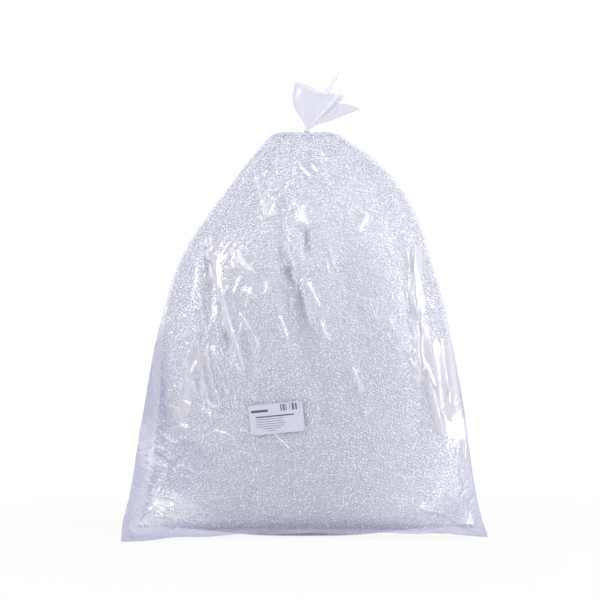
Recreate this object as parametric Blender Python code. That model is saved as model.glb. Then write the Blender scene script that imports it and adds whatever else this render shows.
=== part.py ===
"""A clear film bag of loose polystyrene beads, tied at the neck and standing on its welded foot.

Metres, +Z up, front towards -Y. The origin is on the floor, under the middle of the bag's bounding box.
The film is one tube, welded across its foot and gathered into a neck by a rubber band. Above the
band its open mouth fans out into a ruff. The beads inside are one solid with their outer shape.
"""

import math
from collections import namedtuple

import bpy
import numpy as np
from mathutils import Vector
from mathutils.bvhtree import BVHTree

# Driving dimensions of the film bag
FOOT_WIDTH = 0.515
BODY_DEPTH = 0.238
NECK_HEIGHT = 0.586
NECK_SHIFT = 0.0035
NECK_RADIUS = 0.0029
NECK_CHANNEL_RADIUS = 0.0008
FILM_GAUGE = 0.00008
HEM_HEIGHT = 0.0145
HEM_LIFT = 0.0066
HEM_TILT = 0.0075
HEM_FLARE = 0.0045
HEM_WAVE = 0.0016

# Folds of the body's film
GATHER_COUNT = 15
GATHER_DEPTH = 0.0036
FOLD_REACH = math.radians(3.4)
CREST_REACH = math.radians(6.5)
GROOVE_SET = math.radians(3.0)

# The ruff above the band
RUFF_TILT = math.radians(24.0)
RUFF_VALLEY_LENGTH = 0.060
RUFF_VALLEY_FLARE = math.radians(9.0)
RUFF_BUNDLE_SHARE = 0.22
RUFF_VALLEY_WEIGHT = 0.14

# The beads, the rubber band and the label
BEAD_CLEARANCE = 0.0003
BAND_STRAND = 0.0008
BAND_TURNS = 3
BAND_CLEARANCE = 0.0003
LABEL_WIDTH = 0.077
LABEL_HEIGHT = 0.043
LABEL_THICKNESS = 0.00012
LABEL_CLEARANCE = 0.0003
LABEL_CENTRE_X = -0.040
LABEL_CENTRE_Z = 0.1755
LABEL_TURN = math.radians(6.0)
LABEL_CORNER = 0.003

# How finely the solids are drawn
COLUMNS = 60
LEFT_VOID_COLUMNS = 4
RIGHT_VOID_COLUMNS = 3
RINGS_PER_STATION = 2
RUFF_RING_SHARES = (0.08, 0.18, 0.32, 0.48, 0.65, 0.83, 1.0)
BAND_SEGMENTS_PER_TURN = 18

# Heights of the neck's bundle above the place where the body's film meets it
BAND_HEIGHT = BAND_TURNS * BAND_STRAND * 1.1
NECK_TOP = NECK_HEIGHT + BAND_HEIGHT + 4 * BAND_CLEARANCE

# The body is lofted through stations that run from the weld up to the neck. Each names where the
# film's front, back and sides reach, as shares: of half the depth for front_y, back_y and side_y,
# of the neck's height for the heights, and of half the foot's width for left and right.
# lens is 1 where the section is an oval. Above 2, the front and back meet in a thin, empty wing.
Station = namedtuple("Station", "front_y front_z back_y back_z side_y side_z left right lens")
STATIONS = (
    Station(-0.487, 0.0285, -0.487, 0.0285, -0.739, 0.0239, 1.009, 1.003, 2.30),
    Station(-0.542, 0.0512, -0.286, 0.0010, -0.605, 0.0478, 1.008, 0.984, 2.60),
    Station(-0.605, 0.0887, 0.168, -0.008, -0.420, 0.0887, 0.987, 0.967, 2.75),
    Station(-0.681, 0.1451, 0.521, 0.0200, -0.218, 0.1451, 0.968, 0.951, 2.70),
    Station(-0.773, 0.2304, 0.697, 0.1280, -0.067, 0.2218, 0.948, 0.930, 2.40),
    Station(-0.874, 0.3413, 0.815, 0.2816, 0.000, 0.3328, 0.906, 0.900, 1.90),
    Station(-0.958, 0.4522, 0.916, 0.4266, 0.000, 0.4505, 0.861, 0.849, 1.45),
    Station(-1.000, 0.5717, 0.975, 0.5631, 0.000, 0.5700, 0.793, 0.793, 1.15),
    Station(-0.950, 0.6911, 0.958, 0.6911, 0.000, 0.6894, 0.708, 0.713, 1.00),
    Station(-0.807, 0.8020, 0.824, 0.8020, 0.000, 0.8089, 0.538, 0.623, 1.00),
    Station(-0.555, 0.9044, 0.563, 0.9044, 0.000, 0.9096, 0.367, 0.468, 1.00),
    Station(-0.303, 0.9795, 0.311, 0.9795, 0.000, 0.9890, 0.226, 0.222, 1.00),
    Station(-0.151, 0.9983, 0.151, 0.9983, 0.000, 1.0040, 0.150, 0.125, 1.00),
)
LAST_STATION = len(STATIONS)

# Long folds that hang from the gathered neck: the angle of the crest and its station at the top and at
# the lower end, how deep the groove on its left is pressed in, and how far the crest stands out.
# Columns follow the crest and groove of the followed ones. Minus 90 degrees is the middle of the front.
Fold = namedtuple("Fold", "top_angle top_station low_angle low_station depth crest followed")
FOLDS = (
    Fold(-148.0, 9.8, -112.0, 4.4, 0.0115, 0.0055, True),
    Fold(-104.0, 9.8, -80.0, 5.0, 0.0120, 0.0060, True),
    Fold(-90.0, 10.8, -88.0, 8.4, 0.0070, 0.0020, False),
    Fold(-124.0, 10.6, -116.0, 8.4, 0.0055, 0.0025, False),
    Fold(-131.0, 6.6, -128.0, 3.6, 0.0070, 0.0030, False),
    Fold(-73.0, 9.4, -66.0, 5.6, 0.0060, 0.0020, False),
    Fold(-26.0, 9.8, -44.0, 3.8, 0.0090, 0.0045, True),
    Fold(20.0, 10.0, 32.0, 5.0, 0.0080, 0.0035, True),
    Fold(76.0, 10.4, 62.0, 4.4, 0.0110, 0.0055, True),
    Fold(106.0, 9.8, 118.0, 5.0, 0.0100, 0.0050, True),
    Fold(150.0, 10.0, 142.0, 4.2, 0.0080, 0.0035, False),
)

# Lobes of the ruff: the column's angle, how far it flares from the ruff's own axis, its length from
# the band to the cut mouth, how wide it is, and how much it curls back by its tip
Lobe = namedtuple("Lobe", "angle flare length reach curl")
LOBES = (
    Lobe(180.0, 64.0, 0.073, 24.0, -24.0),
    Lobe(-136.0, 38.0, 0.069, 18.0, -4.0),
    Lobe(-96.0, 22.0, 0.062, 16.0, 4.0),
    Lobe(-48.0, 34.0, 0.080, 9.0, 0.0),
    Lobe(-22.0, 26.0, 0.058, 8.0, 0.0),
    Lobe(0.0, 46.0, 0.086, 9.0, 3.0),
    Lobe(22.0, 24.0, 0.056, 8.0, 0.0),
    Lobe(44.0, 32.0, 0.083, 9.0, 0.0),
    Lobe(78.0, 19.0, 0.114, 6.3, 0.0),
    Lobe(130.0, 34.0, 0.068, 22.0, 0.0),
)


def clear_scene():
    for item in list(bpy.data.objects):
        bpy.data.objects.remove(item)


def plastic(name, colour, roughness, alpha=1.0):
    """A Principled material for one piece."""
    material = bpy.data.materials.new(name)
    material.use_nodes = True
    shader = material.node_tree.nodes["Principled BSDF"]
    shader.inputs["Base Color"].default_value = (*colour, 1.0)
    shader.inputs["Roughness"].default_value = roughness
    shader.inputs["Metallic"].default_value = 0.0
    shader.inputs["Alpha"].default_value = alpha
    material.diffuse_color = (*colour, alpha)
    return material


def add_object(name, points, faces, material, sharp_angle=40.0):
    mesh = bpy.data.meshes.new(name)
    mesh.from_pydata([tuple(map(float, p)) for p in points], [], [tuple(map(int, f)) for f in faces])
    mesh.shade_smooth()
    mesh.set_sharp_from_angle(angle=math.radians(sharp_angle))
    mesh.materials.append(material)
    item = bpy.data.objects.new(name, mesh)
    bpy.context.scene.collection.objects.link(item)
    return item


def through(values, place):
    """A smooth curve's value at place, where 0, 1, 2 ... are the given values."""
    values = np.asarray(values, float)
    last = len(values) - 1
    place = min(max(place, 0.0), last)
    low = min(int(place), last - 1)
    before, start, end, after = (values[min(max(low + i, 0), last)] for i in (-1, 0, 1, 2))
    t = place - low
    return 0.5 * (
        2 * start
        + (end - before) * t
        + (2 * before - 5 * start + 4 * end - after) * t**2
        + (3 * start - before - 3 * end + after) * t**3
    )


def ease(value, low, high):
    """0 below low, 1 above high, and a smooth rise between."""
    t = min(max((value - low) / (high - low), 0.0), 1.0)
    return t * t * (3 - 2 * t)


def turn_between(angle, other):
    """The smallest turn from one angle to another, in radians."""
    return (angle - other + math.pi) % (2 * math.pi) - math.pi


def even_angles():
    """From the left edge, round the front to the right edge, and back round the rear."""
    return [-math.pi + 2 * math.pi * i / COLUMNS for i in range(COLUMNS)]


def fold_angle(fold, place):
    """Where the fold's crest lies at this station. Beyond its ends it keeps the angle it has there."""
    run = (fold.top_station - place) / (fold.top_station - fold.low_station)
    run = min(max(run, 0.0), 1.0)
    return math.radians(fold.top_angle + (fold.low_angle - fold.top_angle) * run)


def column_angles(place=0.0):
    """The columns' angles at a station: even at the weld and the neck, and between them along the folds."""
    step = 2 * math.pi / COLUMNS
    share = ease(place, 1.5, 4.0) * (1 - ease(place, 10.0, 12.0))
    even, placed = [-math.pi], [-math.pi]
    for fold in FOLDS:
        if fold.followed:
            column = round(math.radians((fold.top_angle + fold.low_angle) / 2) / step) * step
            crest = column + (fold_angle(fold, place) - column) * share
            groove = crest - step + (step - GROOVE_SET) * share
            even += [column - step, column]
            placed += [groove, crest]
    even, placed = even + [math.pi], placed + [math.pi]
    return np.interp(even_angles(), even, placed)


def station_at(place):
    """The station between the given ones, in metres. After the last one comes the neck itself."""
    half_depth, half_width = BODY_DEPTH / 2, FOOT_WIDTH / 2
    to_depth, to_width = NECK_RADIUS / half_depth, NECK_RADIUS / half_width
    neck = Station(-to_depth, 1.0, to_depth, 1.0, 0.0, 1.0, to_width, to_width, 1.0)
    sizes = np.array([half_depth, NECK_HEIGHT, half_depth, NECK_HEIGHT, half_depth, NECK_HEIGHT,
                      half_width, half_width, 1.0])
    return Station(*(through(np.array(STATIONS + (neck,)), place) * sizes))


def section(place):
    """One closed ring of the body's outer form, before its folds."""
    at = station_at(place)
    ring = []
    for angle in column_angles(place):
        across = math.cos(angle)
        half_width = at.left if across < 0 else at.right
        bulge = abs(math.sin(angle)) ** at.lens
        centre = NECK_SHIFT * ease(place, 8.0, LAST_STATION)
        reach_y, reach_z = (at.front_y, at.front_z) if math.sin(angle) < 0 else (at.back_y, at.back_z)
        y = at.side_y + (reach_y - at.side_y) * bulge
        z = at.side_z + (reach_z - at.side_z) * bulge
        ring.append((centre + across * half_width, y, z))
    return np.array(ring)


def fold_depth(angle, place):
    """How far the film is drawn in by the gathers under the neck and by the long folds."""
    gathered = ease(place, 8.4, 11.0) * (1 - 0.96 * ease(place, 11.2, LAST_STATION))
    uneven = 1.0 + 0.35 * math.sin(2 * angle + 0.8) + 0.25 * math.sin(5 * angle)
    depth = GATHER_DEPTH * gathered * uneven * 0.5 * (1 - math.cos(GATHER_COUNT * angle))
    for fold in FOLDS:
        run = (fold.top_station - place) / (fold.top_station - fold.low_station)
        if not 0.0 < run < 1.0:
            continue
        away = turn_between(angle, fold_angle(fold, place))
        groove = math.exp(-(((away + GROOVE_SET) / FOLD_REACH) ** 2))
        crest = math.exp(-((away / (CREST_REACH if away > 0 else FOLD_REACH)) ** 2))
        depth += math.sin(math.pi * run) ** 0.7 * (fold.depth * groove - fold.crest * crest)
    return depth


def body_rings():
    """The body's rings from the weld up, folded, and pressed flat where they meet the floor."""
    places = [i / RINGS_PER_STATION for i in range(LAST_STATION * RINGS_PER_STATION)]
    rings = np.array([section(place) for place in places])
    drawn_in = np.array([[fold_depth(angle, place) for angle in column_angles(place)] for place in places])
    rings = rings - ring_normals(rings) * drawn_in[..., None]
    rings[..., 2] = np.maximum(rings[..., 2], 0.0)
    return rings


def ring_normals(rings):
    """Outward normals of a stack of closed rings."""
    round_way = np.roll(rings, -1, axis=1) - np.roll(rings, 1, axis=1)
    up_way = np.gradient(rings, axis=0)
    normals = np.cross(round_way, up_way)
    length = np.linalg.norm(normals, axis=2, keepdims=True)
    return normals / np.maximum(length, 1e-12)


def drawn_inwards(rings, distance):
    """The rings moved in by a distance that stays even at sharp edges, up to eight times as far."""
    normals = ring_normals(rings)
    ahead = np.roll(rings, -1, axis=1) - rings
    up_way = np.gradient(rings, axis=0)
    facet = np.cross(ahead, up_way)
    facet /= np.maximum(np.linalg.norm(facet, axis=2, keepdims=True), 1e-12)
    lean = np.minimum((facet * normals).sum(2), (np.roll(facet, 1, axis=1) * normals).sum(2))
    return rings - normals * (distance / np.clip(lean, 0.125, 1.0))[..., None]


def mirror_column(column):
    """The column on the back that lies behind this one of the front."""
    return (COLUMNS - column) % COLUMNS


def skin(first, count, flip=False):
    """Triangles between rings of vertices that follow each other from the index first."""
    faces = []
    for ring in range(count - 1):
        low, high = first + ring * COLUMNS, first + (ring + 1) * COLUMNS
        for i in range(COLUMNS):
            j = (i + 1) % COLUMNS
            for face in ((low + i, low + j, high + j), (low + i, high + j, high + i)):
                faces.append(face[::-1] if flip else face)
    return faces


def close_flat(first, flip=False):
    """Closes a flattened ring by joining each column of the front to the one behind it."""
    faces = []
    for i in range(COLUMNS // 2):
        j = i + 1
        corners = [first + i, first + mirror_column(i), first + mirror_column(j), first + j]
        kept = [c for n, c in enumerate(corners) if c not in corners[:n]]
        faces.append(tuple(kept[::-1] if flip else kept))
    return faces


def weld_line():
    """The weld's points, column by column. The columns of the back repeat those of the front."""
    at = section(0.0)
    return np.array([(at[i] + at[mirror_column(i)]) / 2 for i in range(COLUMNS)])


def hem_rings():
    """The doubled film below the weld, from its cut lower edge up to the weld: two faces, one gauge apart."""
    weld = weld_line()
    half_width = FOOT_WIDTH / 2
    rings = []
    for share in (1.0, 0.5, 0.0):
        ring = []
        for i, (x, y, z) in enumerate(weld):
            across = x / half_width
            lift = HEM_LIFT * (1 - across**2) + HEM_TILT * ease(across, 0.1, 0.9)
            lift += HEM_WAVE * (1 - across**6) * math.sin(17 * across + 1.0)
            sway = HEM_WAVE * math.sin(23 * across) * share
            low = max(z - (HEM_HEIGHT - lift), 0.0)
            side = 0 if i in (0, COLUMNS // 2) else (-1 if i < COLUMNS // 2 else 1)
            ring.append((x * (1 + 0.004 * share), y - HEM_FLARE * share + sway + side * FILM_GAUGE,
                         z + (low - z) * share))
        rings.append(ring)
    return np.array(rings)


def ruff_direction(angle, share):
    """Which way the ruff's film runs at this column and share of its length, and how long it is."""
    total = RUFF_VALLEY_WEIGHT
    flare, length, curl = RUFF_VALLEY_FLARE * total, RUFF_VALLEY_LENGTH * total, 0.0
    for lobe in LOBES:
        weight = math.exp(-((turn_between(angle, math.radians(lobe.angle)) / math.radians(lobe.reach)) ** 2))
        flare += weight * math.radians(lobe.flare)
        length += weight * lobe.length
        curl += weight * math.radians(lobe.curl)
        total += weight
    flare, length, curl = flare / total, length / total, curl / total
    flare = flare * ease(share, -0.25, 0.45) + curl * share * share
    axis = np.array([math.sin(RUFF_TILT), 0.0, math.cos(RUFF_TILT)])
    right = np.array([math.cos(RUFF_TILT), 0.0, -math.sin(RUFF_TILT)])
    outward = right * math.cos(angle) + np.array([0.0, math.sin(angle), 0.0])
    return axis * math.cos(flare) + outward * math.sin(flare), outward, length


def ruff_ring(share, radius):
    """One ring of the ruff, at a share of the film's length above the band."""
    base = np.array([NECK_SHIFT, 0.0, NECK_TOP])
    ring = []
    for angle in column_angles():
        way, outward, length = ruff_direction(angle, share)
        ring.append(base + outward * radius + way * length * share)
    return np.array(ring)


def neck_ring(height, radius):
    """A ring of the bundled film, fluted by the gathers."""
    flutes = [radius * (1 - 0.03 * (1 - math.cos(GATHER_COUNT * angle))) for angle in column_angles()]
    return np.array([(NECK_SHIFT + r * math.cos(a), r * math.sin(a), height)
                     for r, a in zip(flutes, column_angles())])


def build_film_bag(material):
    """The film as a thin wall: its outer face from the hem to the mouth, and its inner face back down."""
    body = body_rings()
    neck = np.array([neck_ring(NECK_HEIGHT, NECK_RADIUS), neck_ring(NECK_TOP, NECK_RADIUS)])
    ruff = np.array([ruff_ring(share, NECK_RADIUS) for share in RUFF_RING_SHARES])
    outer = np.concatenate([hem_rings(), body[1:], neck, ruff])

    inner_body = drawn_inwards(body, FILM_GAUGE)
    inner_neck = np.array([neck_ring(NECK_HEIGHT, NECK_CHANNEL_RADIUS),
                           neck_ring(NECK_TOP, NECK_CHANNEL_RADIUS)])
    outer_ruff = np.concatenate([neck[-1:], ruff])
    bundle = NECK_RADIUS - NECK_CHANNEL_RADIUS - FILM_GAUGE
    inner_ruff = drawn_inwards(outer_ruff, FILM_GAUGE)[1:]
    for n, share in enumerate(RUFF_RING_SHARES):
        left = bundle * (1 - ease(share, 0.0, RUFF_BUNDLE_SHARE))
        centre = inner_ruff[n].mean(axis=0)
        away = inner_ruff[n] - centre
        inner_ruff[n] -= away / np.linalg.norm(away, axis=1, keepdims=True) * left
    inner = np.concatenate([inner_body[1:], inner_neck, inner_ruff])

    points = list(outer.reshape(-1, 3))
    faces = skin(0, len(outer)) + close_flat(0)
    first_inner = len(points)
    points += list(inner.reshape(-1, 3))
    faces += skin(first_inner, len(inner), flip=True)

    # The inner face starts from the weld's own line, which front and back share.
    weld = weld_line()[: COLUMNS // 2 + 1]
    first_weld = len(points)
    points += list(weld)
    for i in range(COLUMNS):
        j = (i + 1) % COLUMNS
        low_i, low_j = (first_weld + min(c, mirror_column(c)) for c in (i, j))
        faces.append((first_inner + i, first_inner + j, low_j, low_i))

    # The mouth's cut edge joins the two faces.
    top_outer = (len(outer) - 1) * COLUMNS
    top_inner = first_inner + (len(inner) - 1) * COLUMNS
    for i in range(COLUMNS):
        j = (i + 1) % COLUMNS
        faces.append((top_outer + i, top_outer + j, top_inner + j, top_inner + i))
    return add_object("film_bag", points, faces, material)


def stop_short_of_edge(rings, edge, void, share):
    """Ends each ring, where its share is 1, a number of columns before the edge: beads don't fit further."""
    near, far = rings[:, (edge + void) % COLUMNS].copy(), rings[:, edge - void].copy()
    for step in range(1 - void, void):
        between = (near * (void + step) + far * (void - step)) / (2 * void)
        column = (edge + step) % COLUMNS
        rings[:, column] += (between - rings[:, column]) * share[:, None]


def build_bead_fill(material):
    """The beads' outer shape: the film's inner face, less the places too tight for a bead."""
    rings = drawn_inwards(body_rings(), FILM_GAUGE + BEAD_CLEARANCE)[1:-1]
    share = np.array([1 - ease(n / RINGS_PER_STATION, 3.5, 7.0) for n in range(len(rings))])
    stop_short_of_edge(rings, 0, LEFT_VOID_COLUMNS, share)
    stop_short_of_edge(rings, COLUMNS // 2, RIGHT_VOID_COLUMNS, share)
    points = list(rings.reshape(-1, 3))
    faces = skin(0, len(rings)) + close_flat(0)
    top = (len(rings) - 1) * COLUMNS
    points.append(rings[-1].mean(axis=0))
    faces += [(top + i, top + (i + 1) % COLUMNS, len(points) - 1) for i in range(COLUMNS)]
    return add_object("bead_fill", points, faces, material)


def build_neck_band(material):
    """A closed rubber loop wound round the neck: it climbs side by side and crosses back over itself."""
    inner = NECK_RADIUS + BAND_CLEARANCE + BAND_STRAND / 2
    pitch = BAND_STRAND * 1.08
    climb = BAND_TURNS - 0.5
    lowest = (NECK_HEIGHT + NECK_TOP - pitch * climb) / 2
    count = BAND_SEGMENTS_PER_TURN * BAND_TURNS
    path = []
    for i in range(count):
        turns = BAND_TURNS * i / count
        crossing = max((turns - climb) / (BAND_TURNS - climb), 0.0)
        level = min(turns, climb) * (1 - ease(crossing, 0.2, 0.8))
        radius = inner + pitch * ease(crossing, 0.0, 0.25) * (1 - ease(crossing, 0.75, 1.0))
        angle = 2 * math.pi * turns
        path.append((NECK_SHIFT + radius * math.cos(angle), radius * math.sin(angle), lowest + pitch * level))
    curve = bpy.data.curves.new("neck_band", "CURVE")
    curve.dimensions = "3D"
    curve.bevel_depth = BAND_STRAND / 2
    curve.bevel_resolution = 1
    curve.materials.append(material)
    line = curve.splines.new("POLY")
    line.points.add(len(path) - 1)
    for point, place in zip(line.points, path):
        point.co = (*place, 1.0)
    line.use_cyclic_u = True
    item = bpy.data.objects.new("neck_band", curve)
    bpy.context.scene.collection.objects.link(item)
    return item


def rounded_rectangle_inset(u, v):
    """Moves a point of the label's rectangle in, where a rounded corner cuts it off."""
    core_u, core_v = LABEL_WIDTH / 2 - LABEL_CORNER, LABEL_HEIGHT / 2 - LABEL_CORNER
    over_u, over_v = max(abs(u) - core_u, 0.0), max(abs(v) - core_v, 0.0)
    far = math.hypot(over_u, over_v)
    if far <= LABEL_CORNER:
        return u, v
    shrink = LABEL_CORNER / far
    return (math.copysign(core_u + over_u * shrink, u) if over_u else u,
            math.copysign(core_v + over_v * shrink, v) if over_v else v)


def build_label(film, material):
    """A paper label on the front of the bag. It bends with the film, and clears its folds."""
    tree = BVHTree.FromObject(film, bpy.context.evaluated_depsgraph_get())
    across, down = 13, 8
    cosine, sine = math.cos(LABEL_TURN), math.sin(LABEL_TURN)

    def placed(u, v):
        return LABEL_CENTRE_X + u * cosine - v * sine, LABEL_CENTRE_Z + u * sine + v * cosine

    def on_film(u, v):
        x, z = placed(u, v)
        hit = tree.ray_cast(Vector((x, -2 * BODY_DEPTH, z)), Vector((0, 1, 0)))[0]
        return hit.y

    def terms(u, v):
        return (1.0, u, v, u * u, u * v, v * v)

    samples = [(LABEL_WIDTH * (i / 24 - 0.5), LABEL_HEIGHT * (j / 16 - 0.5))
               for i in range(25) for j in range(17)]
    depths = np.array([on_film(u, v) for u, v in samples])
    matrix = np.array([terms(u, v) for u, v in samples])
    bend = np.linalg.lstsq(matrix, depths, rcond=None)[0]
    bend[0] -= (matrix @ bend - depths).max() + LABEL_CLEARANCE

    points = []
    for layer in (0.0, LABEL_THICKNESS):
        for j in range(down):
            for i in range(across):
                corner = (LABEL_WIDTH * (i / (across - 1) - 0.5), LABEL_HEIGHT * (j / (down - 1) - 0.5))
                u, v = rounded_rectangle_inset(*corner)
                x, z = placed(u, v)
                points.append((x, float(np.dot(terms(u, v), bend)) - layer, z))
    faces = []
    behind = across * down
    for j in range(down - 1):
        for i in range(across - 1):
            a, b = j * across + i, j * across + i + 1
            c, d = b + across, a + across
            faces.append((d, c, b, a))
            faces.append((a + behind, b + behind, c + behind, d + behind))
    rim = [i for i in range(across)]
    rim += [j * across + across - 1 for j in range(1, down)]
    rim += [(down - 1) * across + i for i in range(across - 2, -1, -1)]
    rim += [j * across for j in range(down - 2, 0, -1)]
    for a, b in zip(rim, rim[1:] + rim[:1]):
        faces.append((a, b, b + behind, a + behind))
    return add_object("label", points, faces, material, sharp_angle=60.0)


def centre_over_origin(film, others):
    """Shifts the pieces together, so that the bag's bounding box stands centred over the origin."""
    corners = np.array([vertex.co for vertex in film.data.vertices])
    middle = (corners.min(axis=0) + corners.max(axis=0)) / 2
    for item in (film, *others):
        item.location = (-middle[0], -middle[1], 0.0)


def main():
    clear_scene()
    clear_film = plastic("polyethylene_film", (0.80, 0.82, 0.90), 0.18, alpha=0.30)
    foam = plastic("polystyrene_beads", (0.84, 0.85, 0.89), 0.75)
    rubber = plastic("latex_rubber", (0.80, 0.74, 0.66), 0.55)
    paper = plastic("label_paper", (0.78, 0.78, 0.84), 0.60)
    film = build_film_bag(clear_film)
    beads = build_bead_fill(foam)
    band = build_neck_band(rubber)
    bpy.context.view_layer.update()
    label = build_label(film, paper)
    centre_over_origin(film, (beads, band, label))


main()
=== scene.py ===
"""The looks of a clear film bag of polystyrene beads: its film, beads, rubber band, label and stage."""

import math
from collections import namedtuple

import bmesh
import bpy
import numpy as np
from bpy.props import FloatProperty, FloatVectorProperty, IntProperty, PointerProperty
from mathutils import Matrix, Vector
from mathutils.bvhtree import BVHTree
from mathutils.kdtree import KDTree


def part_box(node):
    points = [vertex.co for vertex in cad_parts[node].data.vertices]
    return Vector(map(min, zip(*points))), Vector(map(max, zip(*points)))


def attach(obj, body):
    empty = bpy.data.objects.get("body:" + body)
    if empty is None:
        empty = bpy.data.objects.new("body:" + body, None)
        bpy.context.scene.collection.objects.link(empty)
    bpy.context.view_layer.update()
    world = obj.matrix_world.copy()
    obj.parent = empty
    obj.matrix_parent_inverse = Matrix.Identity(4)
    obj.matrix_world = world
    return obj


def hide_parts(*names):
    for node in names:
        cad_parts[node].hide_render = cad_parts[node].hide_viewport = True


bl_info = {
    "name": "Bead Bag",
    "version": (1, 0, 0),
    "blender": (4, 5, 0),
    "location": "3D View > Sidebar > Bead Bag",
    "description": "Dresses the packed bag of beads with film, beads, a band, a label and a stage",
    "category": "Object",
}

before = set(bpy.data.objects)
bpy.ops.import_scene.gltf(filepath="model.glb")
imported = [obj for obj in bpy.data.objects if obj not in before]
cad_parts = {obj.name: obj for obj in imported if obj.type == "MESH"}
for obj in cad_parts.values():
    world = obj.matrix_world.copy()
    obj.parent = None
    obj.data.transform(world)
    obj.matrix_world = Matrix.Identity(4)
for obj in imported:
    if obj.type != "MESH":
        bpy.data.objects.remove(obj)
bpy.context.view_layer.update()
MM = 0.001
BODY = "root"

FILM_LOW, FILM_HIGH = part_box("film_bag")
BAND_LOW, BAND_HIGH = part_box("neck_band")
LABEL_LOW, LABEL_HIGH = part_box("label")
NECK = (BAND_LOW + BAND_HIGH) / 2
BAG_CENTRE = (FILM_LOW + FILM_HIGH) / 2

# The CAD's loose triangles are joined where their corners meet, and made quads up to these angles
WELD = 0.005 * MM
QUAD_ANGLES = {"angle_face_threshold": math.radians(50), "angle_shape_threshold": math.radians(60)}
# The rim of the film's open mouth: faces this thin, this far from the neck, across an edge this sharp
RIM_THICKNESS = 0.7 * MM
RIM_FROM_NECK = 40 * MM
RIM_TURN = math.radians(45)

# A crease runs along points given as (x, z) in millimetres. Its rise is in millimetres too, and its two
# widths are how far it falls away on its left or lower side and on its right or upper side: the height
# there is the rise times e to the minus (distance / width) ** CREASE_POWER. It is left out past
# CREASE_REACH widths, and its ends ease away over CREASE_END of its length.
Crease = namedtuple("Crease", "rise left right points")
CREASE_POWER = 1.25
CREASE_REACH = 3.0
CREASE_END = 0.22

# Folds that the beads fill or give way to
FRONT_FOLDS = (
    Crease(3.0, 4.0, 16.0, ((-38, 436), (-24, 414), (-11, 380), (3, 348), (12, 320), (24, 288), (31, 268))),
    Crease(-10.0, 6.0, 3.5, ((-39, 424), (-22, 388), (-7, 355), (0, 328), (9, 307), (19, 274))),
    Crease(-9.0, 5.0, 4.0, ((2, 452), (5, 421), (4, 396))),
    Crease(1.4, 3.5, 20.0, ((-137, 458), (-139, 435), (-133, 392), (-126, 345), (-114, 301), (-105, 275),
                            (-92, 244))),
    Crease(-12.0, 5.0, 3.5, ((-143, 458), (-144, 430), (-138, 390), (-129, 352), (-119, 310), (-109, 276),
                            (-98, 248))),
    Crease(-3.0, 7.0, 7.0, ((61, 392), (61, 371), (60, 350))),
    Crease(-3.0, 8.0, 7.0, ((78, 352), (78, 326), (75, 300))),
    Crease(-5.0, 4.5, 4.0, ((-149, 244), (-149, 215), (-143, 195), (-132, 178))),
    Crease(-3.0, 12.0, 10.0, ((28, 250), (32, 200), (26, 150))),
    Crease(-3.0, 8.0, 8.0, ((-84, 300), (-78, 280), (-74, 250))),
)

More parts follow.
